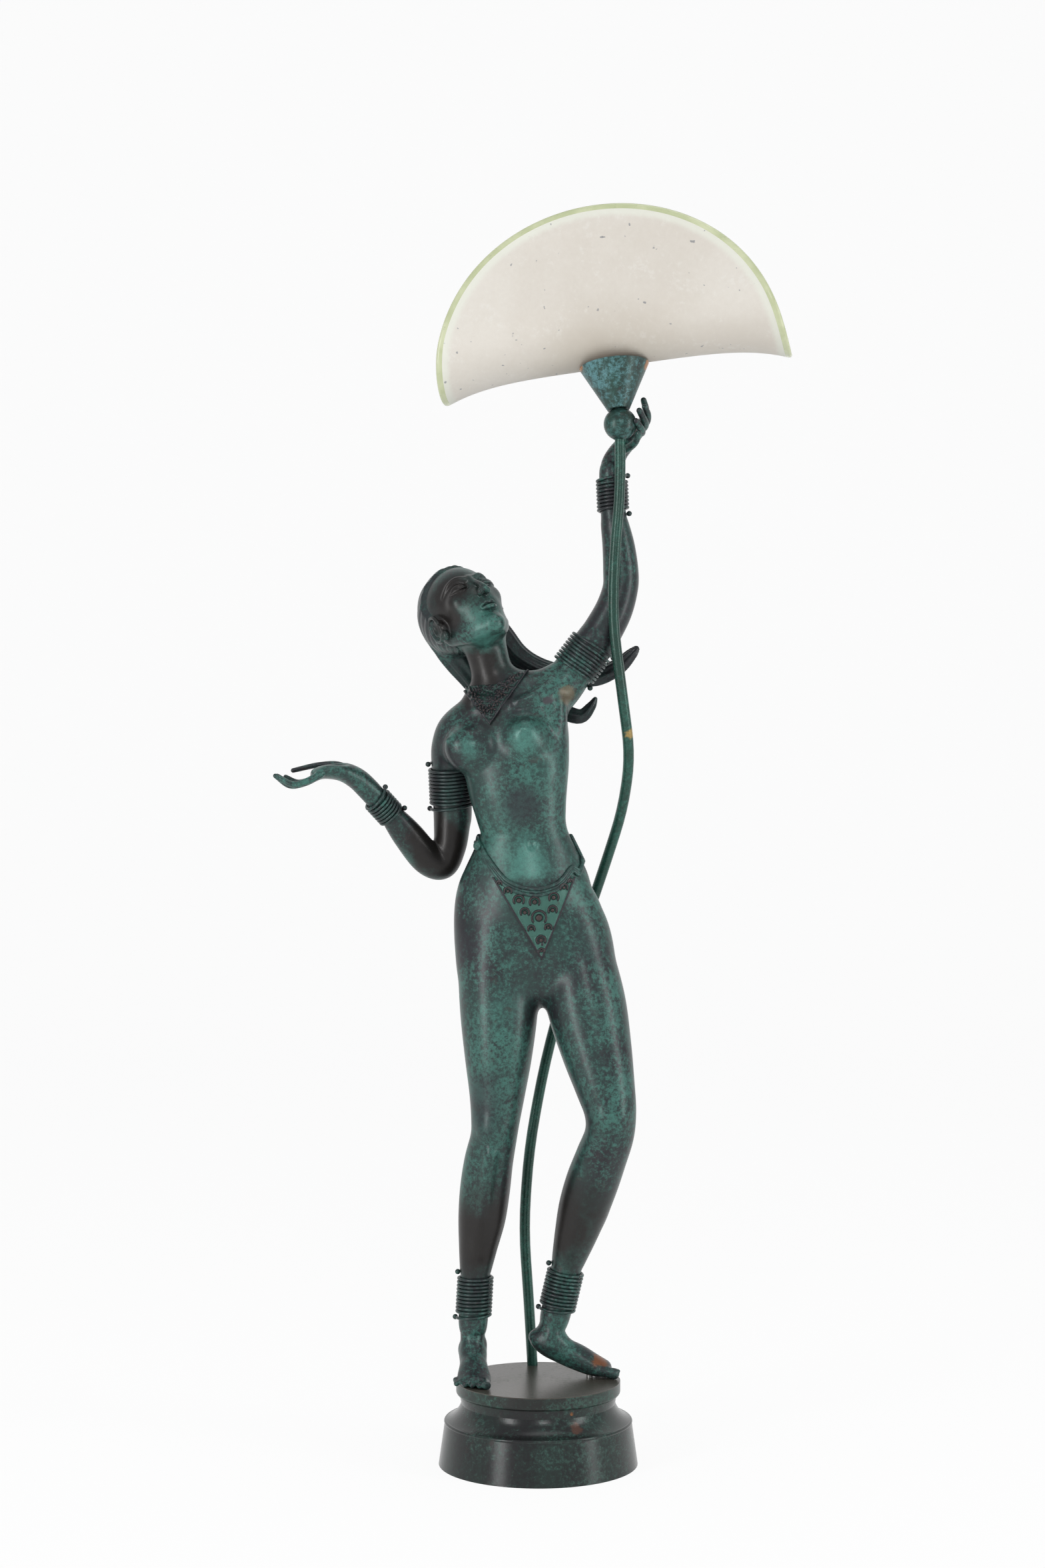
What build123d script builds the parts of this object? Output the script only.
"""Figural table lamp: a dancer in cast bronze on a turned base, who holds up a tube with a folded glass shade.

Millimetres, +Z up, the front of the figure toward -Y. The origin is the centre of the underside.
The heights of the figure are above its floor, which is the top of the plinth.
"""
import os
from math import cos, degrees, pi, radians, sin

from build123d import *

# ---------------------------------------------------------------- base
socle_radius = 92.5            # skirt, at the table
skirt_top_radius = 87.0
skirt_height = 38.5
bead_height = 3.0              # turned bead round the top of the skirt
bead_bulge = 0.5
bead_inset = 1.5
cove_sag = 2.4                 # of the hollow between the bead and the neck, below its chord
socle_neck_radius = 71.6
socle_neck_height = 56.5
socle_height = 64.5
socle_lip_radius = 73.0
socle_wall = 4.0
deck_thickness = 4.0
deck_hole_radius = 54.0
deck_lead_hole_radius = 4.4    # under the foot of the stem
post_radius = 5.0              # posts inside the socle, which hold the bottom plate
post_circle_radius = 61.5
post_count = 3
post_first_angle = 50.0

plinth_radius = 76.3
plinth_thickness = 12.5
plinth_edge_round = 3.4
plinth_pocket_radius = 66.5
plinth_pocket_depth = 6.0
lug_radius = 6.0               # lugs in the pocket, which take the screws from the socle
lug_circle_radius = 60.0
lug_count = 3
lug_first_angle = -10.0

screw_radius = 2.0             # M4 cheese-head screws in the base
screw_head_radius = 3.5
screw_head_height = 2.6
screw_head_sink = 0.4          # of the plate's screw heads above the table
screw_grip = 8.0               # depth of thread in a lug or a post
screw_clearance = 0.05
thread_end_room = 1.0          # between a screw's end and the end of its hole
slot_width = 0.9
slot_depth = 1.0

felt_thickness = 2.0
bottom_plate_thickness = 1.5
bottom_plate_clearance = 1.0   # from the plate's edge to the wall of the skirt

bush_height = 13.0             # cable bush at the back of the skirt
bush_radius = 5.0
bush_flange_radius = 7.0
bush_flange_thickness = 1.6
bush_flange_sink = 0.6         # of the flange into the sloping skirt
bush_bore_radius = 3.4
bush_inside_length = 6.0

terminal_length = 26.0
terminal_depth = 16.0
terminal_height = 13.0
terminal_edge_round = 2.0
terminal_y = 30.0
terminal_screw_radius = 1.9
terminal_screw_spacing = 12.0
terminal_screw_depth = 4.0

# ---------------------------------------------------------------- stem, ball and cup
stem_radius = 5.0              # 10 mm lamp tube
stem_bore_radius = 3.6
stem_foot = (-4.4, 64.0)       # where the tube leaves the plinth
lead_radius = 2.6              # inner lead, held by the tube all the way
lead_turn_run = 9.0            # from the tube's foot to where the lead turns up
lead_first_rise = 14.0
lead_second_rise = 36.0
lead_side_play = 0.4
socket_clearance = 0.05        # brazed and pressed joints

ball_radius = 15.2
ball_place = (75.5, -20.0, 886.0)   # above the figure's floor
ball_flat = 13.6                    # flat under the cup, from the ball's centre
stem_socket_depth = 9.0             # how far the tube enters the ball
lamp_lean_left = 5.5                # tilt of the cup and shade toward -X, degrees
lamp_lean_back = 8.5                # tilt toward +Y, degrees
shade_yaw = -9.0                    # turn of the fold about the cup's axis, degrees

cup_foot_radius = 10.4
cup_rim_radius = 32.2
cup_height = 41.5
cup_wall = 2.0
cup_floor = 3.0
turning_gap = 0.3              # between the ball and the cup, which turns on the nipple

nipple_radius = 4.95           # M10 x 1
nipple_bore_radius = 3.6
nipple_in_ball = 6.0
nipple_end_room = 0.5          # under the floor of the holder's mouth
nipple_clearance = 0.05        # running fit in the cup
lock_nut_radius = 8.0
lock_nut_height = 3.0
sleeve_radius = 6.8            # spacer sleeve on the nipple, under the lampholder
sleeve_length = 8.0

# ---------------------------------------------------------------- glass shade
glass_thickness = 6.0
disc_radius = 164.0            # the flat disc before it is slumped into a fold
fold_radius = 48.0             # outside of the fold
flap_lean = 4.0                # of each flap from upright, degrees
fold_arch_radius = 900.0       # the fold droops at both ends along this arc
rim_tip_direction = (0.18, 1)  # of the disc's edge at its tip, seen from the front
outline_steps = 6
glass_hole_radius = 14.6
glass_seat_gap = 0.9           # between the cup's rim and the fold

# ---------------------------------------------------------------- lampholder and bulb
holder_radius = 13.4           # E14 lampholder
holder_length = 46.0
holder_wall = 2.2
holder_floor = 4.0
holder_mouth_depth = 30.0
seat_thickness = 3.5           # soft ring between cup and glass
ring_inner_clearance = 0.1
ring_outer_radius = 20.5       # screwed ring above the glass
ring_height = 6.0
washer_height = 9.0            # soft washer under the ring, shaped to the fold
washer_cover = 0.8             # of the washer above the highest glass that it touches

bulb_cap_radius = 7.0
bulb_cap_length = 27.5
bulb_cap_gap = 0.6             # from the cap to the contact
bulb_globe_radius = 22.5
bulb_globe_offset = 27.0       # globe's centre above the cap
bulb_neck_share = 0.7          # of the globe's radius, where the neck meets it
bulb_neck_overlap = 2.0
bulb_glass_thickness = 1.0
contact_radius = 4.0
contact_height = 2.0
thread_shell_wall = 1.0
thread_clearance = 0.1

# ---------------------------------------------------------------- figure
casting_wall = 4.5
wire_radius = 1.4              # bangles are one wound wire each
coil_pitch = 3.4
upper_arm_turns = 11
raised_arm_turns = 9
wrist_turns = 7
raised_wrist_turns = 9
ankle_turns = 11
bent_ankle_turns = 11
coil_clearance = 0.15
coil_end_lift = 2.4            # how far each end stands clear of the turns
coil_bead_radius = 2.5
samples_per_turn = 24          # along the wire, where the gap between turns is measured
samples_apart = 20
seat_waste = 12.0              # width of what is cut away round a limb for its bangle
belt_thickness = 3.0
belt_height = 5.2
panel_thickness = 2.6
collar_thickness = 2.4
finger_radius = 3.3
stud_radius = 3.0              # M6 studs from the feet through the plinth
stud_in_foot = 10.0
standing_stud = (-50.5, 4.0)
bent_stud = (48.0, 11.0)
stud_places = [standing_stud, bent_stud]
stud_clearance = 0.05
nut_radius = 5.7
nut_height = 4.5
washer_radius = 6.2
washer_thickness = 1.2

upper_arm_seat = 18.6          # radii of the limbs under the bangles
raised_arm_seat = 19.6
wrist_seat = 10.9
raised_wrist_seat = 12.2
ankle_seat = 14.2
bent_ankle_seat = 14.6

hip_seam = 396.0               # where the legs meet the torso
standing_ankle_seam = 38.0
waist_lean = -2.0              # leans of the rings, degrees toward +X
neck_lean = -20.0

# Rings: centre x, y, height, half width, half depth.
torso_rings = [
    (-4.0, 2.0, hip_seam, 71.5, 38.0),
    (-7.5, 2.0, 417.0, 71.0, 39.5),
    (-11.0, 2.0, 446.0, 67.5, 38.5),
    (-12.5, 1.0, 476.0, 54.5, 35.0),
    (-13.0, -1.0, 508.0, 40.3, 30.0),
    (-18.0, -3.0, 540.0, 43.5, 31.0),
    (-21.0, -4.0, 570.0, 49.0, 33.5),
    (-24.0, -2.0, 600.0, 53.5, 33.0),
    (-30.0, 2.0, 626.0, 50.0, 27.0),
    (-43.0, 4.0, 648.0, 22.0, 20.0),
]
torso_leans = [0.0, 0.0, 0.0, waist_lean, waist_lean, -5.0, -8.0, -12.0, -18.0, neck_lean]
breast_radius = 21.0
breasts = [(-54.0, -17.0, 588.0), (-4.0, -23.0, 607.0)]

standing_leg_rings = [
    (-37.5, 2.0, hip_seam, 37.5, 36.0),
    (-36.6, 0.0, 338.0, 35.4, 35.0),
    (-37.4, -4.0, 276.0, 27.2, 29.0),
    (-41.2, -5.0, 230.0, 21.7, 23.0),
    (-46.9, 2.0, 198.0, 23.0, 24.0),
    (-50.4, 8.0, 166.0, 23.2, 24.0),
    (-54.5, 12.0, 134.0, 20.4, 20.4),
    (-58.2, 14.0, 100.0, ankle_seat + 0.5, ankle_seat + 0.5),
    (-60.8, 14.0, 52.0, ankle_seat + 0.3, ankle_seat + 0.3),
    (-61.2, 14.0, standing_ankle_seam, 11.8, 12.6),
]
bent_leg_rings = [
    (35.5, 2.0, hip_seam, 31.8, 34.0),
    (46.5, -12.0, 338.7, 35.6, 34.0),
    (61.0, -28.0, 283.0, 27.6, 28.0),
    (66.5, -31.0, 250.0, 23.4, 24.0),
    (59.6, -17.0, 216.0, 23.6, 24.0),
    (44.0, 1.0, 167.0, 23.6, 24.5),
    (35.5, 8.0, 135.0, 20.2, 20.6),
    (27.5, 12.0, 106.0, bent_ankle_seat + 0.5, bent_ankle_seat + 0.5),
    (16.3, 14.0, 58.0, bent_ankle_seat + 0.3, bent_ankle_seat + 0.3),
    (13.4, 14.0, 46.0, 12.4, 12.8),
]
bent_ankle_lean = 13.0
knee = 3                       # the ring where thigh and calf meet

standing_foot_rings = [        # from heel to toes, across the foot: x, y, height, half width, half height
    (-61.0, 31.0, 10.0, 7.0, 7.0),
    (-61.0, 24.0, 11.0, 11.5, 12.0),
    (-60.5, 8.0, 13.0, 13.0, 15.0),
    (-59.5, -10.0, 9.0, 15.5, 11.5),
    (-58.0, -28.0, 5.0, 17.0, 7.0),
    (-57.0, -38.0, 3.6, 15.0, 4.4),
]
bent_foot_rings = [            # from heel to toes, along the sole: x, y, height, half width, half height
    (-3.0, 14.0, 36.0, 6.5, 7.0),
    (3.0, 14.0, 34.0, 11.0, 12.0),
    (20.0, 13.0, 24.0, 12.5, 13.0),
    (40.0, 12.0, 11.5, 14.5, 10.0),
    (55.0, 12.0, 6.5, 15.0, 7.5),
    (70.0, 12.0, 6.0, 13.0, 5.5),
    (76.5, 12.0, 5.6, 9.0, 3.4),
]

open_shoulder_rings = [
    (-52.0, 4.0, 604.0, 27.0, 23.0),
    (-76.0, 12.0, 598.0, 23.0, 21.0),
    (-82.0, 22.0, 574.0, upper_arm_seat + 0.5, upper_arm_seat + 0.5),
    (-81.0, 29.0, 548.0, upper_arm_seat + 0.3, upper_arm_seat + 0.3),
]
open_arm_rings = [
    (-81.0, 29.0, 548.0, upper_arm_seat + 0.3, upper_arm_seat + 0.3),
    (-80.5, 30.0, 531.0, 18.0, 18.0),
    (-82.0, 30.0, 500.0, 16.5, 16.5),
    (-87.0, 29.0, 478.0, 15.0, 15.0),
    (-99.0, 26.0, 480.0, 15.0, 15.0),
    (-120.0, 15.0, 504.0, 15.5, 15.0),
    (-136.0, 6.0, 524.0, wrist_seat + 1.6, wrist_seat + 1.4),
    (-151.0, -4.0, 541.0, wrist_seat + 0.3, wrist_seat + 0.3),
    (-160.0, -10.0, 552.0, wrist_seat - 0.4, wrist_seat - 1.4),
]
raised_shoulder_rings = [
    (-14.0, 4.0, 620.0, 33.0, 27.0),
    (10.0, 6.0, 636.0, 26.0, 24.0),
    (27.0, 6.0, 652.0, raised_arm_seat + 0.8, raised_arm_seat + 0.8),
    (41.0, 5.0, 669.0, raised_arm_seat + 0.3, raised_arm_seat + 0.3),
]
raised_arm_rings = [
    (41.0, 5.0, 669.0, raised_arm_seat + 0.3, raised_arm_seat + 0.3),
    (56.0, 4.0, 690.0, 18.0, 18.0),
    (72.0, 3.0, 720.0, 17.0, 17.0),
    (77.0, 4.0, 745.0, 16.6, 16.6),
    (75.0, 4.0, 775.0, 15.0, 15.6),
    (70.0, 4.0, 806.0, raised_wrist_seat + 0.4, raised_wrist_seat + 0.4),
    (68.6, 5.0, 840.0, raised_wrist_seat + 0.2, raised_wrist_seat + 0.2),
    (71.0, 6.0, 854.0, 10.4, 9.0),
]
neck_rings = [
    (-43.0, 4.0, 648.0, 22.0, 20.0),
    (-50.0, 3.0, 663.0, 19.0, 18.0),
    (-54.5, 1.0, 678.0, 20.0, 19.5),
    (-60.0, 0.0, 694.0, 26.0, 24.0),
]
skull_radius = 38.0            # skull and jaw are two balls, joined by a taper
skull_centre = (-72.0, 5.0, 719.0)
jaw_radius = 15.0
jaw_centre = (-37.0, -8.0, 708.0)
cheek_inset = 2.0
chin_inset = 0.5

hair_cap_rings = [             # over the back of the skull and down behind the neck
    (-66.0, 13.0, 757.0, 20.0, 20.0),
    (-78.0, 18.0, 744.0, 34.0, 30.0),
    (-88.0, 22.0, 720.0, 34.0, 30.0),
    (-92.0, 26.0, 694.0, 25.0, 22.0),
    (-86.0, 33.0, 664.0, 19.0, 13.0),
    (-74.0, 38.0, 640.0, 14.0, 9.0),
    (-64.0, 40.0, 622.0, 8.0, 5.0),
]
upper_tail_rings = [
    (-60.0, 34.0, 702.0, 12.0, 8.0),
    (-34.0, 38.0, 686.0, 11.0, 7.0),
    (-10.0, 42.0, 669.0, 10.0, 6.5),
    (22.0, 42.0, 661.0, 10.0, 6.0),
    (52.0, 38.0, 654.0, 10.0, 6.0),
    (74.0, 35.0, 663.0, 9.0, 5.5),
    (90.0, 33.0, 679.0, 4.5, 3.5),
]
lower_tail_rings = [
    (-56.0, 41.0, 684.0, 9.0, 6.0),
    (-26.0, 47.0, 664.0, 9.0, 5.5),
    (6.0, 46.0, 634.0, 9.0, 5.5),
    (34.0, 44.0, 618.0, 8.0, 5.0),
    (53.0, 42.0, 632.0, 5.0, 4.0),
]

raised_hand_rings = [
    (71.0, 6.0, 854.0, 10.4, 9.0),
    (77.5, 6.0, 866.0, 8.0, 11.0),
    (87.0, 4.0, 880.0, 6.5, 13.0),
    (95.5, 2.0, 892.0, 5.0, 12.0),
]
raised_fingers = [             # routes of four fingers and the thumb round the ball
    [(95.0, 10.0, 889.0), (99.0, 1.0, 898.0), (94.0, -9.0, 907.0)],
    [(96.0, 4.0, 889.0), (99.0, -7.0, 896.0), (93.0, -18.0, 902.0)],
    [(96.0, -2.0, 888.0), (93.5, -15.0, 891.0), (88.0, -31.0, 893.0)],
    [(92.5, -5.0, 886.0), (93.8, -19.0, 881.0), (87.5, -31.5, 881.0)],
    [(79.0, -3.0, 867.0), (86.5, -14.0, 867.5), (88.0, -25.0, 872.5)],
]
open_hand_rings = [
    (-160.0, -10.0, 552.0, wrist_seat - 0.4, wrist_seat - 1.4),
    (-173.0, -16.0, 564.0, 8.6, 13.0),
    (-190.0, -22.0, 568.0, 7.0, 16.0),
    (-206.0, -27.0, 563.0, 5.0, 15.0),
]
open_fingers = [
    [(-204.0, -38.0, 563.0), (-219.0, -42.0, 557.0), (-233.0, -40.0, 561.0)],
    [(-205.0, -31.0, 562.0), (-221.0, -36.0, 554.0), (-238.0, -38.0, 562.0)],
    [(-205.0, -23.0, 562.0), (-221.0, -27.0, 556.0), (-236.0, -31.0, 562.0)],
    [(-204.0, -15.0, 563.0), (-217.0, -17.0, 557.0), (-230.0, -22.0, 561.0)],
    [(-180.0, -2.0, 566.0), (-197.0, -3.0, 570.0), (-213.0, -12.0, 565.0)],
]

# Front view of the dress: x and height.
belt_line = [(-90.0, 498.5), (-57.0, 498.5), (0.6, 450.0), (32.0, 496.0), (90.0, 496.0)]
panel_outline = [(-40.0, 457.0), (0.6, 446.0), (33.0, 464.0), (3.0, hip_seam + 1.0)]
collar_outline = [(-71.0, 646.0), (-46.0, 606.0), (-12.0, 657.0), (-30.0, 675.0), (-60.0, 675.0)]
front_reach = 80.0             # of the cuts through the front and the back of the torso

# Route of the stem above the figure's floor, from the plinth to the ball.
stem_route = [
    (-8.5, 65.0, 60.0),
    (-13.5, 65.5, 130.0),
    (-8.5, 67.0, 205.0),
    (7.0, 68.0, 290.0),
    (36.0, 67.0, 395.0),
    (62.0, 57.0, 471.0),
    (80.0, 33.0, 530.0),
    (86.0, 8.0, 580.0),
    (77.0, -11.0, 643.0),
    (68.5, -21.0, 705.0),
    (70.5, -24.0, 770.0),
    (75.5, -20.0, 822.0),
]
stem_bend_share = 0.45         # of the shorter run beside each bend

os.makedirs("parts", exist_ok=True)

# ---------------------------------------------------------------- levels and places that follow
plinth_underside = socle_height
floor_height = socle_height + plinth_thickness
pocket_ceiling = plinth_underside + plinth_pocket_depth
deck_underside = socle_height - deck_thickness
bottom_plate_top = felt_thickness + bottom_plate_thickness
stem_bottom = Vector(*stem_foot, plinth_underside)
ball_centre = Vector(*ball_place) + Vector(0, 0, floor_height)
lamp_axis = Vector(-sin(radians(lamp_lean_left)), sin(radians(lamp_lean_back)), 1).normalized()
lamp_side = Vector(0, 1, 0).cross(lamp_axis).normalized()
lamp_plane = Plane(origin=ball_centre, x_dir=lamp_side, z_dir=lamp_axis)
shade_plane = lamp_plane.rotated((0, 0, shade_yaw))
cup_floor_level = ball_flat + turning_gap
cup_rim_level = cup_floor_level + cup_height
holder_level = cup_floor_level + cup_floor + lock_nut_height + sleeve_length
holder_top = holder_level + holder_length
glass_level = cup_rim_level + cup_rim_radius**2 / (2 * fold_arch_radius) + glass_seat_gap
glass_inner_level = glass_level + glass_thickness
lead_path_gap = 1.0            # of the inner lead from the wall where it ends


def raised(point):
    """A point of the figure, above the figure's floor, as a place in the lamp."""
    return Vector(point[0], point[1], point[2] + floor_height)


def ring_plane(centre, along):
    """The plane across a limb: its x axis lies in the limb's front view and its y axis runs in depth."""
    across = Vector(0, 1, 0).cross(along)
    return Plane(origin=centre, x_dir=across.normalized(), z_dir=along)


def limb_planes(rings, first=None, last=None):
    """One plane for each ring, square to the line between its neighbours, or to a given end direction."""
    centres = [raised(ring) for ring in rings]
    planes = []
    for index, centre in enumerate(centres):
        before = centres[max(index - 1, 0)]
        after = centres[min(index + 1, len(centres) - 1)]
        along = (after - before).normalized()
        if index == 0 and first is not None:
            along = first
        if index == len(centres) - 1 and last is not None:
            along = last
        planes.append(ring_plane(centre, along))
    return planes


def leaning(angle):
    """The upward direction that leans by an angle toward +X."""
    return Vector(sin(radians(angle)), 0, cos(radians(angle)))


def ring_loft(rings, planes, growth=0.0):
    """A smooth solid through the rings, each made larger by the growth."""
    with BuildPart() as solid:
        for ring, plane in zip(rings, planes):
            with BuildSketch(plane):
                Ellipse(ring[3] + growth, ring[4] + growth)
        loft()
    return solid.part


def core(rings, planes, first_shift):
    """The inside of a hollow casting, which starts at a shift along its first ring's plane."""
    shifted = [planes[0].offset(first_shift), *planes[1:]]
    return ring_loft(rings, shifted, -casting_wall)


def seat_cutter(plane, radius, length):
    """The tube of waste round a limb where a bangle sits."""
    with BuildPart() as waste:
        with BuildSketch(plane):
            Circle(radius + seat_waste)
            Circle(radius, mode=Mode.SUBTRACT)
        extrude(amount=length)
    return waste.part


def coil_length(turns):
    """Length of a bangle along its limb, over its turns, both raised ends and their beads."""
    return turns * coil_pitch + 2 * (coil_end_lift + coil_bead_radius)


def coil_gap(points, turn_points):
    """Least gap between turns of a wound wire, from points along it."""
    least = min((a - b).length for i, a in enumerate(points) for b in points[i + turn_points:])
    return least - 2 * wire_radius


def wound_bangle(label, plane, seat_radius, turns):
    """One unbroken wire wound round a limb, with a bead on each end."""
    radius = seat_radius + coil_clearance + wire_radius
    climbs = [coil_pitch / 2] * (2 * turns)
    climbs[0] += coil_end_lift
    climbs[-1] += coil_end_lift
    with BuildPart() as bangle:
        with BuildLine(plane) as wire:
            height = coil_bead_radius
            side = 1
            for climb in climbs:
                ThreePointArc(
                    (side * radius, 0, height),
                    (0, side * radius, height + climb / 2),
                    (-side * radius, 0, height + climb),
                )
                height += climb
                side = -side
        with BuildSketch(Plane(origin=wire.wire() @ 0, z_dir=wire.wire() % 0)):
            Circle(wire_radius)
        sweep(path=wire.wire())
        bead_reach = seat_radius + coil_clearance + coil_bead_radius
        for end in (Vector(bead_reach, 0, coil_bead_radius), Vector(side * bead_reach, 0, height)):
            centre = plane.from_local_coords(end)
            with BuildSketch(Plane(origin=centre, x_dir=plane.x_dir, z_dir=plane.y_dir)):
                with BuildLine():
                    bulge = ThreePointArc((0, -coil_bead_radius), (coil_bead_radius, 0), (0, coil_bead_radius))
                    Line(bulge @ 1, bulge @ 0)
                make_face()
            revolve(axis=Axis(centre, plane.z_dir))
    steps = turns * samples_per_turn
    samples = [wire.wire() @ (step / steps) for step in range(steps + 1)]
    print(f"{label}: {turns} turns, least gap {coil_gap(samples, samples_apart):.2f} mm")
    return finished(label, bangle.part)


def finished(label, solid):
    """Label a piece and write it."""
    solid.label = label
    export_step(solid, f"parts/{label}.step")
    return solid


def tube(points, radius):
    """A finger: a round bar along a bent route with a rounded tip."""
    with BuildPart() as bar:
        with BuildLine() as route:
            FilletPolyline(*points, radius=finger_radius * 2)
        with BuildSketch(Plane(origin=route.wire() @ 0, z_dir=route.wire() % 0)):
            Circle(radius)
        sweep(path=route.wire())
        with Locations(route.wire() @ 0, route.wire() @ 1):
            Sphere(radius)
    return bar.part


# ---------------------------------------------------------------- base
def bush_at_back():
    """Cable bush: a flanged sleeve through the back of the skirt."""
    skirt_slope = (socle_radius - skirt_top_radius) / skirt_height
    outside = socle_radius - bush_height * skirt_slope
    with BuildPart() as bush:
        with BuildSketch(Plane(origin=(0, outside, bush_height), z_dir=(0, -1, 0))):
            Circle(bush_radius)
        extrude(amount=socle_wall + bush_inside_length)
        with BuildSketch(Plane(origin=(0, outside - bush_flange_sink, bush_height), z_dir=(0, 1, 0))):
            Circle(bush_flange_radius)
        extrude(amount=bush_flange_thickness)
        with BuildSketch(Plane(origin=(0, outside + socle_wall, bush_height), z_dir=(0, -1, 0))):
            Circle(bush_bore_radius)
        extrude(amount=3 * socle_wall + bush_inside_length, mode=Mode.SUBTRACT)
    return finished("cable_bush", bush.part)


cable_bush = bush_at_back()

with BuildPart() as socle:
    with BuildSketch(Plane.XZ):
        with BuildLine():
            skirt = Line((socle_radius, 0), (skirt_top_radius, skirt_height))
            bead = ThreePointArc(
                skirt @ 1,
                (skirt_top_radius + bead_bulge, skirt_height + bead_height / 2),
                (skirt_top_radius - bead_inset, skirt_height + bead_height),
            )
            neck_edge = Vector(socle_neck_radius, socle_neck_height)
            hollow = (neck_edge - (bead @ 1)).normalized().rotate(Axis.Z, 90) * cove_sag
            cove = ThreePointArc(bead @ 1, ((bead @ 1) + neck_edge) * 0.5 + hollow, neck_edge)
            lip = Line(cove @ 1, (socle_lip_radius, socle_height))
            deck_top = Line(lip @ 1, (deck_hole_radius, socle_height))
            deck_edge = Line(deck_top @ 1, (deck_hole_radius, deck_underside))
            deck_below = Line(deck_edge @ 1, (socle_neck_radius - socle_wall, deck_underside))
            inner_neck = Line(
                deck_below @ 1, (socle_neck_radius - socle_wall, socle_neck_height - socle_wall / 2)
            )
            inner_shoulder = Line(
                inner_neck @ 1, (skirt_top_radius - socle_wall - bead_inset, skirt_height - bead_inset)
            )
            inner_skirt = Line(inner_shoulder @ 1, (socle_radius - socle_wall, 0))
            Line(inner_skirt @ 1, skirt @ 0)
        make_face()
    revolve(axis=Axis.Z)
    with BuildSketch(Plane.XY.offset(bottom_plate_top)):
        with PolarLocations(post_circle_radius, post_count, start_angle=post_first_angle):
            Circle(post_radius)
    extrude(amount=deck_underside - bottom_plate_top + deck_thickness / 2)
    with BuildSketch(Plane.XY.offset(bottom_plate_top)):
        with PolarLocations(post_circle_radius, post_count, start_angle=post_first_angle):
            Circle(screw_radius + screw_clearance)
    extrude(amount=screw_grip, mode=Mode.SUBTRACT)
    with BuildSketch(Plane.XY.offset(deck_underside)):
        with PolarLocations(lug_circle_radius, lug_count, start_angle=lug_first_angle):
            Circle(screw_radius + screw_clearance)
        with Locations(stem_foot):
            Circle(deck_lead_hole_radius)
    extrude(amount=deck_thickness, mode=Mode.SUBTRACT)
    add(cable_bush, mode=Mode.SUBTRACT)
    with BuildSketch(Plane(origin=(0, socle_radius + socle_wall, bush_height), z_dir=(0, -1, 0))):
        Circle(bush_bore_radius)
    extrude(amount=socle_wall * 4, mode=Mode.SUBTRACT)
finished("socle", socle.part)

with BuildPart() as figure_plinth:
    with BuildSketch(Plane.XZ):
        with BuildLine():
            top = Line((0, floor_height), (plinth_radius, floor_height))
            side = Line(top @ 1, (plinth_radius, plinth_underside + plinth_edge_round))
            edge = RadiusArc(side @ 1, (plinth_radius - plinth_edge_round, plinth_underside), plinth_edge_round)
            seat = Line(edge @ 1, (plinth_pocket_radius, plinth_underside))
            pocket = Line(seat @ 1, (plinth_pocket_radius, pocket_ceiling))
            ceiling = Line(pocket @ 1, (0, pocket_ceiling))
            Line(ceiling @ 1, top @ 0)
        make_face()
    revolve(axis=Axis.Z)
    with BuildSketch(Plane.XY.offset(plinth_underside)):
        with PolarLocations(lug_circle_radius, lug_count, start_angle=lug_first_angle):
            Circle(lug_radius)
        with Locations(stem_foot):
            Circle(stem_radius + lug_radius / 2)
    extrude(amount=plinth_pocket_depth)
    with BuildSketch(Plane.XY.offset(plinth_underside)):
        with PolarLocations(lug_circle_radius, lug_count, start_angle=lug_first_angle):
            Circle(screw_radius + screw_clearance)
    extrude(amount=screw_grip, mode=Mode.SUBTRACT)
    with BuildSketch(Plane.XY.offset(plinth_underside)):
        with Locations(*stud_places):
            Circle(stud_radius + stud_clearance)
    extrude(amount=plinth_thickness, mode=Mode.SUBTRACT)
    with BuildSketch(Plane(origin=stem_bottom, z_dir=raised(stem_route[0]) - stem_bottom)):
        Circle(stem_radius + socket_clearance)
    extrude(amount=2 * plinth_thickness, both=True, mode=Mode.SUBTRACT)
finished("figure_plinth", figure_plinth.part)

with BuildPart() as bottom_plate:
    with BuildSketch(Plane.XY.offset(felt_thickness)):
        Circle(socle_radius - socle_wall - bottom_plate_clearance)
        with PolarLocations(post_circle_radius, post_count, start_angle=post_first_angle):
            Circle(screw_radius + screw_clearance, mode=Mode.SUBTRACT)
    extrude(amount=bottom_plate_thickness)
finished("bottom_plate", bottom_plate.part)

with BuildPart() as felt_pad:
    with BuildSketch():
        Circle(socle_radius - socle_wall - bottom_plate_clearance)
        with PolarLocations(post_circle_radius, post_count, start_angle=post_first_angle):
            Circle(screw_head_radius + bottom_plate_clearance, mode=Mode.SUBTRACT)
    extrude(amount=felt_thickness)
finished("felt_pad", felt_pad.part)


def upward_screws(label, circle_radius, count, first_angle, head_top, reach, head_height):
    """Screws that point up, with slotted heads under what they hold."""
    with BuildPart() as screws:
        with BuildSketch(Plane.XY.offset(head_top - head_height)):
            with PolarLocations(circle_radius, count, start_angle=first_angle):
                Circle(screw_head_radius)
        extrude(amount=head_height)
        with BuildSketch(Plane.XY.offset(head_top)):
            with PolarLocations(circle_radius, count, start_angle=first_angle):
                Circle(screw_radius)
        extrude(amount=reach)
        with BuildSketch(Plane.XY.offset(head_top - head_height)):
            with PolarLocations(circle_radius, count, start_angle=first_angle):
                Rectangle(2 * screw_head_radius, slot_width)
        extrude(amount=slot_depth, mode=Mode.SUBTRACT)
    return finished(label, screws.part)


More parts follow.
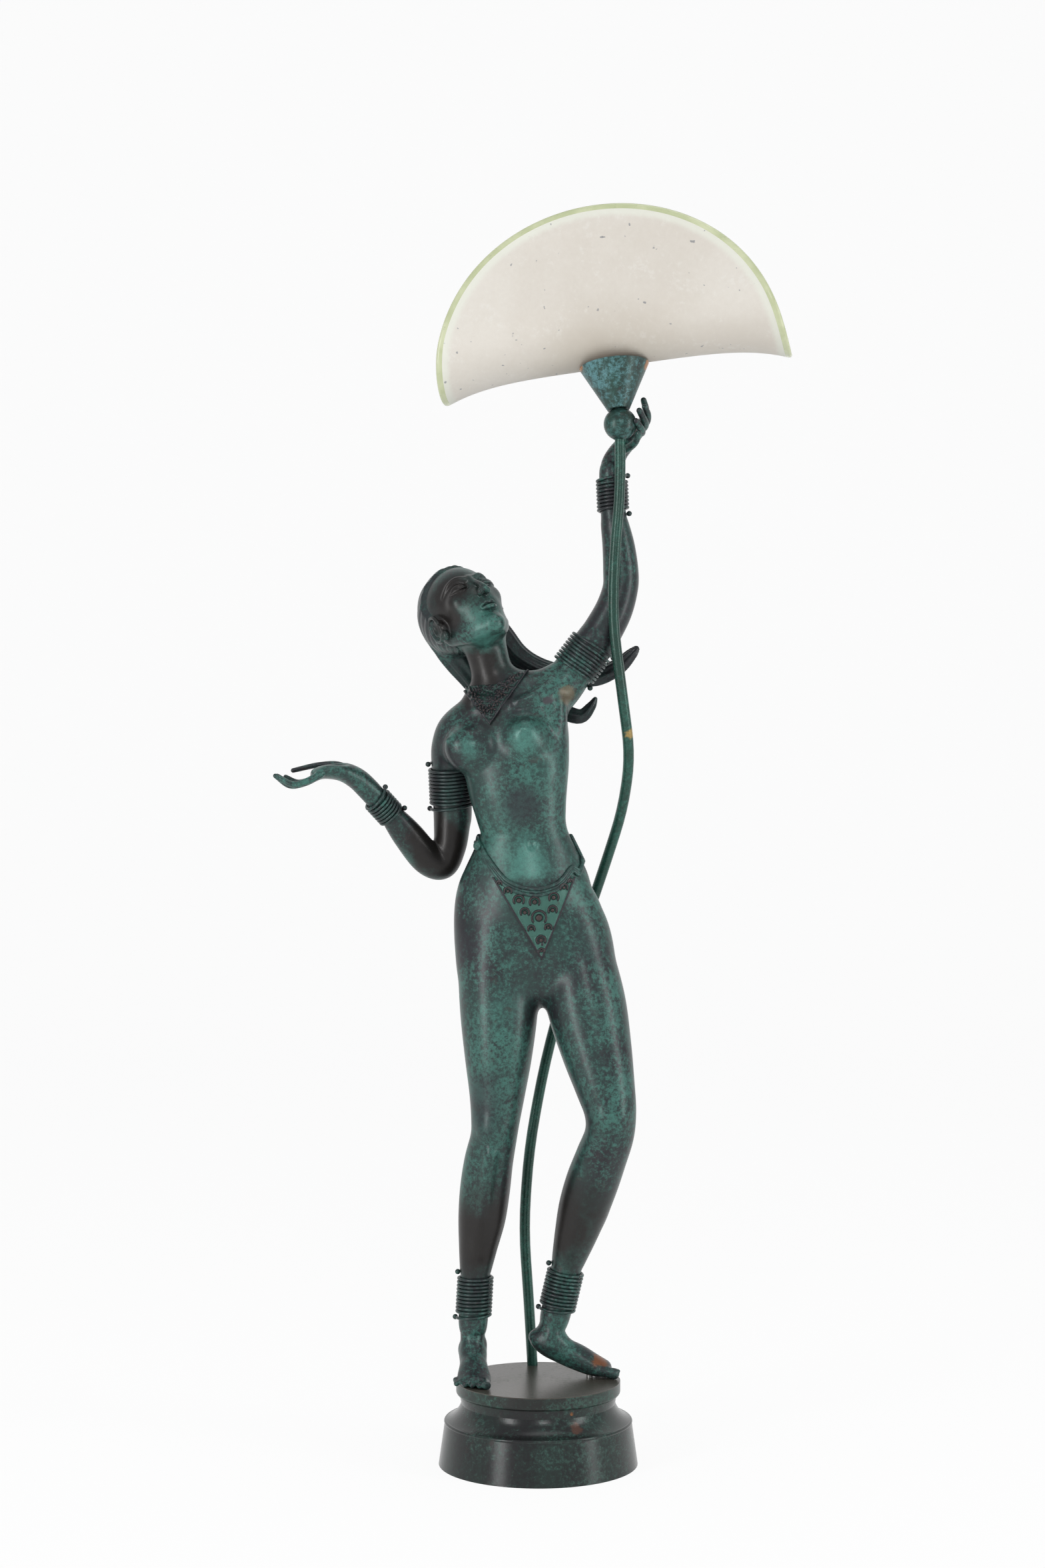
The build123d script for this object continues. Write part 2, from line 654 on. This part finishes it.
plate_screws = upward_screws(
    "plate_screws", post_circle_radius, post_count, post_first_angle,
    felt_thickness, bottom_plate_thickness + screw_grip - thread_end_room, felt_thickness - screw_head_sink,
)
plinth_screws = upward_screws(
    "plinth_screws", lug_circle_radius, lug_count, lug_first_angle,
    deck_underside, deck_thickness + screw_grip - thread_end_room, screw_head_height,
)

terminal_top = bottom_plate_top + terminal_height
with BuildPart() as terminal_block:
    with BuildSketch(Plane.XY.offset(bottom_plate_top)):
        with Locations((0, terminal_y)):
            RectangleRounded(terminal_length, terminal_depth, terminal_edge_round)
    extrude(amount=terminal_height)
    with BuildSketch(Plane.XY.offset(terminal_top - terminal_screw_depth)):
        with Locations((0, terminal_y)):
            with GridLocations(terminal_screw_spacing, 0, 2, 1):
                Circle(terminal_screw_radius + screw_clearance)
    extrude(amount=terminal_screw_depth, mode=Mode.SUBTRACT)
finished("terminal_block", terminal_block.part)

with BuildPart() as terminal_screws:
    with BuildSketch(Plane.XY.offset(terminal_top - terminal_screw_depth)):
        with Locations((0, terminal_y)):
            with GridLocations(terminal_screw_spacing, 0, 2, 1):
                Circle(terminal_screw_radius)
    extrude(amount=terminal_screw_depth - slot_depth / 2)
    with BuildSketch(Plane.XY.offset(terminal_top - slot_depth / 2)):
        with Locations((0, terminal_y)):
            with GridLocations(terminal_screw_spacing, 0, 2, 1):
                Rectangle(2 * terminal_screw_radius, slot_width)
    extrude(amount=-slot_depth, mode=Mode.SUBTRACT)
finished("terminal_screws", terminal_screws.part)


# ---------------------------------------------------------------- ball, stem and inner lead
with BuildPart() as ball_knop:
    with Locations(ball_centre):
        Sphere(ball_radius)
    with BuildSketch(lamp_plane.offset(ball_flat)):
        Circle(ball_radius)
    extrude(amount=ball_radius, mode=Mode.SUBTRACT)
    with BuildSketch(Plane.XY.offset(ball_centre.Z - stem_socket_depth)):
        with Locations((ball_centre.X, ball_centre.Y)):
            Circle(stem_radius + socket_clearance)
    extrude(amount=-ball_radius, mode=Mode.SUBTRACT)
    with BuildSketch(Plane.XY.offset(ball_centre.Z - ball_radius)):
        with Locations((ball_centre.X, ball_centre.Y)):
            Circle(stem_bore_radius)
    extrude(amount=ball_radius, mode=Mode.SUBTRACT)
    with BuildSketch(lamp_plane):
        Circle(nipple_bore_radius)
    extrude(amount=ball_radius, mode=Mode.SUBTRACT)
    with Locations(ball_centre):
        Sphere(stem_bore_radius, mode=Mode.SUBTRACT)
    with BuildSketch(lamp_plane.offset(ball_flat - nipple_in_ball)):
        Circle(nipple_radius + socket_clearance)
    extrude(amount=ball_radius, mode=Mode.SUBTRACT)
finished("ball_knop", ball_knop.part)

stem_top = ball_centre - Vector(0, 0, stem_socket_depth)
stem_points = [stem_bottom, *[raised(point) for point in stem_route], stem_top]


def bend_radii(points, share):
    """A radius for each bend: a share of the shorter run beside it, over the tangent of half the turn."""
    radii = []
    for before, corner, after in zip(points, points[1:], points[2:]):
        run_in, run_out = corner - before, after - corner
        half_turn = radians(run_in.get_angle(run_out)) / 2
        radii.append(share * min(run_in.length, run_out.length) / (sin(half_turn) / cos(half_turn)))
    return radii


with BuildLine() as stem_line:
    FilletPolyline(*stem_points, radius=bend_radii(stem_points, stem_bend_share))
stem_path = stem_line.wire()

with BuildPart() as stem_tube:
    with BuildSketch(Plane(origin=stem_path @ 0, z_dir=stem_path % 0)):
        Circle(stem_radius)
        Circle(stem_bore_radius, mode=Mode.SUBTRACT)
    sweep(path=stem_path)
    with BuildSketch(Plane.XY.offset(stem_bottom.Z)):
        with Locations((stem_bottom.X, stem_bottom.Y)):
            Circle(2 * stem_radius)
    extrude(amount=-stem_radius, mode=Mode.SUBTRACT)
    with BuildSketch(Plane.XY.offset(stem_top.Z)):
        with Locations((stem_top.X, stem_top.Y)):
            Circle(2 * stem_radius)
    extrude(amount=stem_radius, mode=Mode.SUBTRACT)
stem_share = stem_tube.part.volume / (pi * (stem_radius**2 - stem_bore_radius**2) * stem_path.length)
print(f"stem: length {stem_path.length:.1f} mm, volume is {stem_share:.4f} of its section by its length")
finished("stem_tube", stem_tube.part)

lead_top = ball_centre + lamp_axis * (holder_level - lead_path_gap)
lead_turn_height = bottom_plate_top + terminal_height / 2
lead_points = [
    Vector(0, terminal_y + terminal_depth / 2, lead_turn_height),
    Vector(0, stem_foot[1] - lead_turn_run, lead_turn_height),
    Vector(stem_foot[0], stem_foot[1] - lead_side_play, lead_turn_height + lead_first_rise),
    Vector(stem_foot[0] + lead_side_play, stem_foot[1], lead_turn_height + lead_second_rise),
    *[raised(point) for point in stem_route],
    ball_centre,
    lead_top,
]
with BuildLine() as lead_line:
    FilletPolyline(*lead_points, radius=bend_radii(lead_points, stem_bend_share))
with BuildPart() as inner_lead:
    with BuildSketch(Plane(origin=lead_line.wire() @ 0, z_dir=lead_line.wire() % 0)):
        Circle(lead_radius)
    sweep(path=lead_line.wire())
print(f"inner lead: length {lead_line.wire().length:.1f} mm")
finished("inner_lead", inner_lead.part)

# ---------------------------------------------------------------- cup, nipple and lampholder
with BuildPart() as cup:
    with BuildSketch(Plane(origin=ball_centre, x_dir=lamp_side, z_dir=lamp_side.cross(lamp_axis))):
        with BuildLine():
            slope = Line((cup_foot_radius, cup_floor_level), (cup_rim_radius, cup_rim_level))
            rim = Line(slope @ 1, (cup_rim_radius - cup_wall, cup_rim_level))
            inside = Line(rim @ 1, (cup_foot_radius - cup_wall / 2, cup_floor_level + cup_floor))
            floor = Line(inside @ 1, (nipple_radius + nipple_clearance, cup_floor_level + cup_floor))
            hole = Line(floor @ 1, (nipple_radius + nipple_clearance, cup_floor_level))
            Line(hole @ 1, slope @ 0)
        make_face()
    revolve(axis=Axis(ball_centre, lamp_axis))
finished("cup", cup.part)

nipple_top = holder_level + holder_floor - nipple_end_room
with BuildPart() as nipple:
    with BuildSketch(lamp_plane.offset(ball_flat - nipple_in_ball)):
        Circle(nipple_radius)
        Circle(nipple_bore_radius, mode=Mode.SUBTRACT)
    extrude(amount=nipple_top - ball_flat + nipple_in_ball)
finished("nipple", nipple.part)

with BuildPart() as lock_nut:
    with BuildSketch(lamp_plane.offset(cup_floor_level + cup_floor)):
        RegularPolygon(lock_nut_radius, 6, major_radius=False)
        Circle(nipple_radius + nipple_clearance, mode=Mode.SUBTRACT)
    extrude(amount=lock_nut_height)
finished("lock_nut", lock_nut.part)

with BuildPart() as spacer_sleeve:
    with BuildSketch(lamp_plane.offset(holder_level - sleeve_length)):
        Circle(sleeve_radius)
        Circle(nipple_radius + nipple_clearance, mode=Mode.SUBTRACT)
    extrude(amount=sleeve_length)
finished("spacer_sleeve", spacer_sleeve.part)

with BuildPart() as lampholder:
    with BuildSketch(lamp_plane.offset(holder_level)):
        Circle(holder_radius)
    extrude(amount=holder_length)
    with BuildSketch(lamp_plane.offset(holder_top - holder_mouth_depth)):
        Circle(holder_radius - holder_wall)
    extrude(amount=holder_mouth_depth, mode=Mode.SUBTRACT)
    with BuildSketch(lamp_plane.offset(holder_level)):
        Circle(nipple_radius + nipple_clearance)
    extrude(amount=holder_floor, mode=Mode.SUBTRACT)
    with BuildSketch(lamp_plane.offset(holder_level + holder_floor)):
        Circle(nipple_bore_radius)
    extrude(amount=holder_length - holder_mouth_depth - 2 * holder_floor, mode=Mode.SUBTRACT)
finished("lampholder", lampholder.part)

mouth_floor = holder_top - holder_mouth_depth
with BuildPart() as holder_contact:
    with BuildSketch(lamp_plane.offset(mouth_floor)):
        Circle(contact_radius)
    extrude(amount=contact_height)
finished("holder_contact", holder_contact.part)

thread_outer = holder_radius - holder_wall - socket_clearance
with BuildPart() as thread_shell:
    with BuildSketch(lamp_plane.offset(mouth_floor)):
        Circle(thread_outer)
        Circle(bulb_cap_radius + thread_clearance, mode=Mode.SUBTRACT)
    extrude(amount=holder_mouth_depth - thread_shell_wall)
finished("thread_shell", thread_shell.part)

bulb_foot = mouth_floor + contact_height + bulb_cap_gap
globe_centre = bulb_foot + bulb_cap_length + bulb_globe_offset
with BuildPart() as bulb:
    with BuildSketch(lamp_plane.offset(bulb_foot)):
        Circle(bulb_cap_radius)
    extrude(amount=bulb_cap_length + bulb_globe_offset - bulb_globe_radius + bulb_neck_overlap)
    with BuildSketch(lamp_plane.offset(bulb_foot + bulb_cap_length)):
        Circle(bulb_cap_radius)
    with BuildSketch(lamp_plane.offset(globe_centre - bulb_globe_radius * bulb_neck_share)):
        Circle(bulb_globe_radius * bulb_neck_share)
    loft()
    with Locations(ball_centre + lamp_axis * globe_centre):
        Sphere(bulb_globe_radius)
        Sphere(bulb_globe_radius - bulb_glass_thickness, mode=Mode.SUBTRACT)
finished("bulb", bulb.part)


# ---------------------------------------------------------------- glass shade
def fold_height(run):
    """Height of the slumped disc above its fold, at a run along the glass from the fold's bottom."""
    lean = radians(flap_lean)
    bend = fold_radius * (pi / 2 - lean)
    if run <= bend:
        return fold_radius * (1 - cos(run / fold_radius))
    return fold_radius * (1 - sin(lean)) + (run - bend) * cos(lean)


def arched(run, height):
    """A place along the fold and above it, once the fold droops along its arch."""
    angle = run / fold_arch_radius
    reach = fold_arch_radius + height
    return (reach * sin(angle), reach * cos(angle) - fold_arch_radius)


def disc_outline(steps):
    """Half of the disc's edge as it is seen from the front once the disc is folded, from the tip to the top."""
    angles = [pi / 2 * step / steps for step in range(steps + 1)]
    return [arched(disc_radius * cos(angle), fold_height(disc_radius * sin(angle))) for angle in angles]


flap_top = fold_height(disc_radius)
block_reach = disc_radius + 4 * glass_thickness
fold_origin = ball_centre + lamp_axis * glass_level
fold_plane = Plane(origin=fold_origin, x_dir=shade_plane.y_dir, z_dir=shade_plane.x_dir)
front_plane = Plane(origin=fold_origin, x_dir=shade_plane.x_dir, z_dir=-shade_plane.y_dir)


def folded_block(outer, height):
    """A solid as wide as the fold, arched along its length, with this radius of bend."""
    centre = fold_plane.from_local_coords(Vector(0, -fold_arch_radius, 0))
    arch_axis = Axis(centre, fold_plane.x_dir)
    half_angle = degrees(block_reach / fold_arch_radius)
    lean = radians(flap_lean)
    with BuildPart() as block:
        with BuildSketch(fold_plane):
            with BuildLine():
                bend = CenterArc((0, fold_radius), outer, 270, 90 - flap_lean)
                rise = height - (bend @ 1).Y
                flap = Line(bend @ 1, (bend @ 1) + Vector(rise * sin(lean) / cos(lean), rise))
                Line(flap @ 1, (0, height))
                mirror(about=Plane.YZ)
            make_face()
        revolve(axis=arch_axis, revolution_arc=half_angle)
        mirror(about=fold_plane)
    return block.part


with BuildPart() as glass_shade:
    add(folded_block(fold_radius, flap_top + disc_radius / 4))
    add(folded_block(fold_radius - glass_thickness, flap_top + disc_radius / 2), mode=Mode.SUBTRACT)
    with BuildSketch(front_plane.offset(-disc_radius)):
        with BuildLine():
            edge_points = disc_outline(outline_steps)
            tip = edge_points[0]
            rim_line = Spline(*edge_points, tangents=[rim_tip_direction, (-1, 0)])
            down = Line(tip, (tip[0], tip[1] - fold_radius))
            under = Line(down @ 1, (0, tip[1] - fold_radius))
            Line(under @ 1, rim_line @ 1)
        make_face()
        mirror(about=Plane.YZ)
    extrude(amount=2 * disc_radius, mode=Mode.INTERSECT)
    with BuildSketch(lamp_plane.offset(cup_rim_level - glass_thickness)):
        Circle(glass_hole_radius)
    extrude(amount=3 * glass_thickness, mode=Mode.SUBTRACT)
finished("glass_shade", glass_shade.part)

with BuildPart() as lower_seat:
    with BuildSketch(lamp_plane.offset(cup_rim_level - seat_thickness)):
        Circle(cup_rim_radius)
        Circle(glass_hole_radius, mode=Mode.SUBTRACT)
    extrude(amount=seat_thickness)
    add(cup.part, mode=Mode.SUBTRACT)
    with BuildSketch(lamp_plane.offset(cup_rim_level - seat_thickness)):
        Circle(2 * cup_rim_radius)
        Circle(cup_rim_radius - 2 * cup_wall, mode=Mode.SUBTRACT)
    extrude(amount=seat_thickness, mode=Mode.SUBTRACT)
finished("lower_seat", lower_seat.part)

ring_level = glass_inner_level + washer_height - washer_cover
with BuildPart() as upper_washer:
    with BuildSketch(lamp_plane.offset(glass_inner_level - glass_thickness / 2)):
        Circle(ring_outer_radius)
        Circle(holder_radius + ring_inner_clearance, mode=Mode.SUBTRACT)
    extrude(amount=ring_level - glass_inner_level + glass_thickness / 2)
    add(folded_block(fold_radius - glass_thickness, flap_top), mode=Mode.INTERSECT)
finished("upper_washer", upper_washer.part)

with BuildPart() as shade_ring:
    with BuildSketch(lamp_plane.offset(ring_level)):
        Circle(ring_outer_radius)
        Circle(holder_radius + ring_inner_clearance, mode=Mode.SUBTRACT)
    extrude(amount=ring_height)
finished("shade_ring", shade_ring.part)


# ---------------------------------------------------------------- figure: bangles
def bangle_plane(first_ring, second_ring, turns):
    """The plane where a bangle starts, so that it is centred on the limb between two rings."""
    start, end = raised(first_ring), raised(second_ring)
    length = coil_length(turns)
    along = (end - start).normalized()
    middle = (start + end) * 0.5
    return ring_plane(middle - along * (length / 2), along)


upper_arm_place = bangle_plane(open_shoulder_rings[2], open_arm_rings[1], upper_arm_turns)
raised_arm_place = bangle_plane(raised_shoulder_rings[2], raised_arm_rings[1], raised_arm_turns)
wrist_place = bangle_plane(open_arm_rings[6], open_arm_rings[7], wrist_turns)
raised_wrist_place = bangle_plane(raised_arm_rings[5], raised_arm_rings[6], raised_wrist_turns)
ankle_place = bangle_plane(standing_leg_rings[7], standing_leg_rings[8], ankle_turns)
bent_ankle_place = bangle_plane(bent_leg_rings[7], bent_leg_rings[8], bent_ankle_turns)

wound_bangle("open_arm_bangle", upper_arm_place, upper_arm_seat, upper_arm_turns)
wound_bangle("raised_arm_bangle", raised_arm_place, raised_arm_seat, raised_arm_turns)
wound_bangle("open_wrist_bangle", wrist_place, wrist_seat, wrist_turns)
wound_bangle("raised_wrist_bangle", raised_wrist_place, raised_wrist_seat, raised_wrist_turns)
wound_bangle("standing_anklet", ankle_place, ankle_seat, ankle_turns)
wound_bangle("bent_anklet", bent_ankle_place, bent_ankle_seat, bent_ankle_turns)

# ---------------------------------------------------------------- figure: torso
torso_planes = [
    ring_plane(raised(ring), leaning(lean)) for ring, lean in zip(torso_rings, torso_leans)
]
shoulder_end = (raised(open_arm_rings[1]) - raised(open_shoulder_rings[2])).normalized()
raised_shoulder_end = (raised(raised_arm_rings[1]) - raised(raised_shoulder_rings[2])).normalized()
standing_leg_planes = limb_planes(standing_leg_rings, first=Vector(0, 0, -1), last=Vector(0, 0, -1))
bent_leg_planes = limb_planes(bent_leg_rings, first=Vector(0, 0, -1), last=-leaning(bent_ankle_lean))

with BuildPart() as torso:
    add(ring_loft(torso_rings, torso_planes))
    with Locations(*[raised(breast) for breast in breasts]):
        Sphere(breast_radius)
    add(core(torso_rings[:-1], torso_planes[:-1], casting_wall), mode=Mode.SUBTRACT)
    with BuildSketch(Plane.XY.offset(floor_height + hip_seam)):
        for ring in (standing_leg_rings[0], bent_leg_rings[0]):
            with Locations((ring[0], ring[1])):
                Ellipse(ring[3] - 2 * casting_wall, ring[4] - 2 * casting_wall)
    extrude(amount=2 * casting_wall, mode=Mode.SUBTRACT)
    add(ring_loft(open_shoulder_rings, limb_planes(open_shoulder_rings, last=shoulder_end)))
    add(ring_loft(raised_shoulder_rings, limb_planes(raised_shoulder_rings, last=raised_shoulder_end)))
    add(seat_cutter(upper_arm_place, upper_arm_seat, coil_length(upper_arm_turns)), mode=Mode.SUBTRACT)
    add(seat_cutter(raised_arm_place, raised_arm_seat, coil_length(raised_arm_turns)), mode=Mode.SUBTRACT)
finished("torso", torso.part)

# ---------------------------------------------------------------- figure: legs and feet
def cast_leg(label, rings, planes, place, seat_radius, turns):
    """A hollow leg in two lofts which meet at the knee, with a seat for its anklet."""
    thigh_rings, thigh_planes = rings[:knee + 1], planes[:knee + 1]
    with BuildPart() as thigh:
        add(ring_loft(thigh_rings, thigh_planes))
        add(core(thigh_rings, thigh_planes, casting_wall), mode=Mode.SUBTRACT)
        with BuildSketch(planes[0]):
            Ellipse(rings[0][3] - 2 * casting_wall, rings[0][4] - 2 * casting_wall)
        extrude(amount=2 * casting_wall, mode=Mode.SUBTRACT)
    with BuildPart() as leg:
        add(ring_loft(rings[knee:], planes[knee:]))
        add(core(rings[knee:-2], planes[knee:-2], 0), mode=Mode.SUBTRACT)
        add(thigh.part)
        add(seat_cutter(place, seat_radius, coil_length(turns)), mode=Mode.SUBTRACT)
    return finished(label, leg.part)


cast_leg("standing_leg", standing_leg_rings, standing_leg_planes, ankle_place, ankle_seat, ankle_turns)
cast_leg(
    "bent_leg", bent_leg_rings, bent_leg_planes, bent_ankle_place, bent_ankle_seat, bent_ankle_turns
)


def foot_planes(rings):
    """One plane across the foot for each ring, with its x axis level and its y axis up."""
    centres = [raised(ring) for ring in rings]
    planes = []
    for index, centre in enumerate(centres):
        along = centres[min(index + 1, len(centres) - 1)] - centres[max(index - 1, 0)]
        planes.append(Plane(origin=centre, x_dir=along.cross(Vector(0, 0, 1)), z_dir=along))
    return planes


def cast_foot(label, rings, ankle_ring, ankle_plane, stud_place):
    """A foot with its ankle, flat where it stands on the plinth and bored for its stud."""
    sole = Plane.XY.offset(floor_height)
    bridge_height = rings[2][2] + floor_height
    with BuildPart() as foot:
        add(ring_loft(rings, foot_planes(rings)))
        with BuildSketch(ankle_plane):
            Ellipse(ankle_ring[3], ankle_ring[4])
        with BuildSketch(Plane.XY.offset(bridge_height)):
            with Locations(((rings[2][0] + ankle_ring[0]) / 2, ankle_ring[1])):
                Ellipse(ankle_ring[3], ankle_ring[4])
        loft()
        with BuildSketch(sole):
            Rectangle(4 * plinth_radius, 4 * plinth_radius)
        extrude(amount=-plinth_radius, mode=Mode.SUBTRACT)
        with BuildSketch(sole):
            with Locations(stud_place):
                Circle(stud_radius + stud_clearance)
        extrude(amount=stud_in_foot, mode=Mode.SUBTRACT)
    return finished(label, foot.part)


cast_foot(
    "standing_foot", standing_foot_rings, standing_leg_rings[-1], standing_leg_planes[-1], standing_stud
)
cast_foot("bent_foot", bent_foot_rings, bent_leg_rings[-1], bent_leg_planes[-1], bent_stud)

stud_depths = [stud_in_foot - thread_end_room, bent_foot_rings[4][2]]
washer_top = pocket_ceiling
nut_top = washer_top - washer_thickness
with BuildPart() as foot_studs:
    for place, depth in zip(stud_places, stud_depths):
        with BuildSketch(Plane.XY.offset(nut_top - nut_height)):
            with Locations(place):
                Circle(stud_radius)
        extrude(amount=floor_height + depth - nut_top + nut_height)
finished("foot_studs", foot_studs.part)

with BuildPart() as foot_washers:
    with BuildSketch(Plane.XY.offset(washer_top)):
        with Locations(*stud_places):
            Circle(washer_radius)
            Circle(stud_radius + stud_clearance, mode=Mode.SUBTRACT)
    extrude(amount=-washer_thickness)
finished("foot_washers", foot_washers.part)

with BuildPart() as foot_nuts:
    with BuildSketch(Plane.XY.offset(nut_top)):
        with Locations(*stud_places):
            RegularPolygon(nut_radius, 6, major_radius=False)
            Circle(stud_radius + stud_clearance, mode=Mode.SUBTRACT)
    extrude(amount=-nut_height)
finished("foot_nuts", foot_nuts.part)

# ---------------------------------------------------------------- figure: arms and hands
open_arm_planes = limb_planes(open_arm_rings, first=shoulder_end)
raised_arm_planes = limb_planes(raised_arm_rings, first=raised_shoulder_end)

with BuildPart() as open_arm:
    add(ring_loft(open_arm_rings, open_arm_planes))
    add(seat_cutter(upper_arm_place, upper_arm_seat, coil_length(upper_arm_turns)), mode=Mode.SUBTRACT)
    add(seat_cutter(wrist_place, wrist_seat, coil_length(wrist_turns)), mode=Mode.SUBTRACT)
finished("open_arm", open_arm.part)

with BuildPart() as raised_arm:
    add(ring_loft(raised_arm_rings, raised_arm_planes))
    add(seat_cutter(raised_arm_place, raised_arm_seat, coil_length(raised_arm_turns)), mode=Mode.SUBTRACT)
    add(
        seat_cutter(raised_wrist_place, raised_wrist_seat, coil_length(raised_wrist_turns)),
        mode=Mode.SUBTRACT,
    )
finished("raised_arm", raised_arm.part)


def cast_hand(label, rings, first_plane, fingers, beside=None):
    """A palm with its fingers and thumb, cut to fit what it holds."""
    planes = limb_planes(rings, first=first_plane.z_dir)
    with BuildPart() as hand:
        add(ring_loft(rings, planes))
        for finger in fingers:
            add(tube([raised(point) for point in finger], finger_radius))
        if beside is not None:
            with Locations(ball_centre):
                Sphere(beside + socket_clearance, mode=Mode.SUBTRACT)
    return finished(label, hand.part)


cast_hand("open_hand", open_hand_rings, open_arm_planes[-1], open_fingers)
cast_hand("raised_hand", raised_hand_rings, raised_arm_planes[-1], raised_fingers, ball_radius)


# ---------------------------------------------------------------- figure: neck, head and hair
neck_planes = limb_planes(neck_rings, first=leaning(neck_lean))
jaw_line = raised(jaw_centre) - raised(skull_centre)
with BuildPart() as head:
    with Locations(raised(skull_centre)):
        Sphere(skull_radius)
    with BuildSketch(Plane(origin=raised(skull_centre), z_dir=jaw_line)):
        Circle(skull_radius - cheek_inset)
    with BuildSketch(Plane(origin=raised(jaw_centre), z_dir=jaw_line)):
        Circle(jaw_radius - chin_inset)
    loft()
    with Locations(raised(jaw_centre)):
        Sphere(jaw_radius)
    add(ring_loft(neck_rings, neck_planes))
    with Locations(raised(skull_centre)):
        Sphere(skull_radius - casting_wall, mode=Mode.SUBTRACT)
finished("head", head.part)

with BuildPart() as hair:
    add(ring_loft(hair_cap_rings, limb_planes(hair_cap_rings)))
    add(head.part, mode=Mode.SUBTRACT)
    with Locations(raised(skull_centre)):
        Sphere(skull_radius - casting_wall / 2, mode=Mode.SUBTRACT)
finished("hair", hair.part)


def hair_tail(label, rings, others):
    """A long lock, cut where it meets the hair it grows from."""
    with BuildPart() as lock:
        add(ring_loft(rings, limb_planes(rings)))
        with Locations(raised(skull_centre)):
            Sphere(skull_radius, mode=Mode.SUBTRACT)
        for other in others:
            add(other.part, mode=Mode.SUBTRACT)
    return finished(label, lock.part)


with BuildPart() as upper_tail_form:
    add(ring_loft(upper_tail_rings, limb_planes(upper_tail_rings)))
hair_tail("upper_hair_tail", upper_tail_rings, [hair, head])
hair_tail("lower_hair_tail", lower_tail_rings, [hair, head, upper_tail_form])

# ---------------------------------------------------------------- figure: belt, loincloth and collar
with BuildPart() as torso_form:
    add(ring_loft(torso_rings, torso_planes))


def front_outline(points):
    """A closed outline on the figure's front view."""
    return Polyline(*[(x, z + floor_height) for x, z in points], close=True)


def banded(points):
    """The outline of a band which follows a line on the figure's front view."""
    above = [(x, z + belt_height / 2) for x, z in points]
    below = [(x, z - belt_height / 2) for x, z in reversed(points)]
    return above + below


with BuildPart() as belt_band:
    with BuildSketch(Plane.XZ):
        with BuildLine():
            front_outline(banded(belt_line))
        make_face()
    extrude(amount=front_reach)
    with BuildSketch(Plane.XZ):
        with BuildLine():
            front_outline(banded([belt_line[0], belt_line[-1]]))
        make_face()
    extrude(amount=-front_reach)

with BuildPart() as belt_cord:
    add(ring_loft(torso_rings, torso_planes, belt_thickness))
    add(belt_band.part, mode=Mode.INTERSECT)
    add(torso_form.part, mode=Mode.SUBTRACT)
finished("belt_cord", belt_cord.part)


def front_plate(label, outline, thickness, others):
    """A plate laid over the front of the torso inside an outline drawn from the front."""
    with BuildPart() as plate:
        add(ring_loft(torso_rings, torso_planes, thickness))
        with BuildSketch(Plane.XZ):
            with BuildLine():
                front_outline(outline)
            make_face()
        extrude(amount=front_reach, mode=Mode.INTERSECT)
        add(torso_form.part, mode=Mode.SUBTRACT)
        for other in others:
            add(other.part, mode=Mode.SUBTRACT)
    return finished(label, plate.part)


front_plate("loincloth", panel_outline, panel_thickness, [belt_cord])
front_plate("collar", collar_outline, collar_thickness, [head, torso])
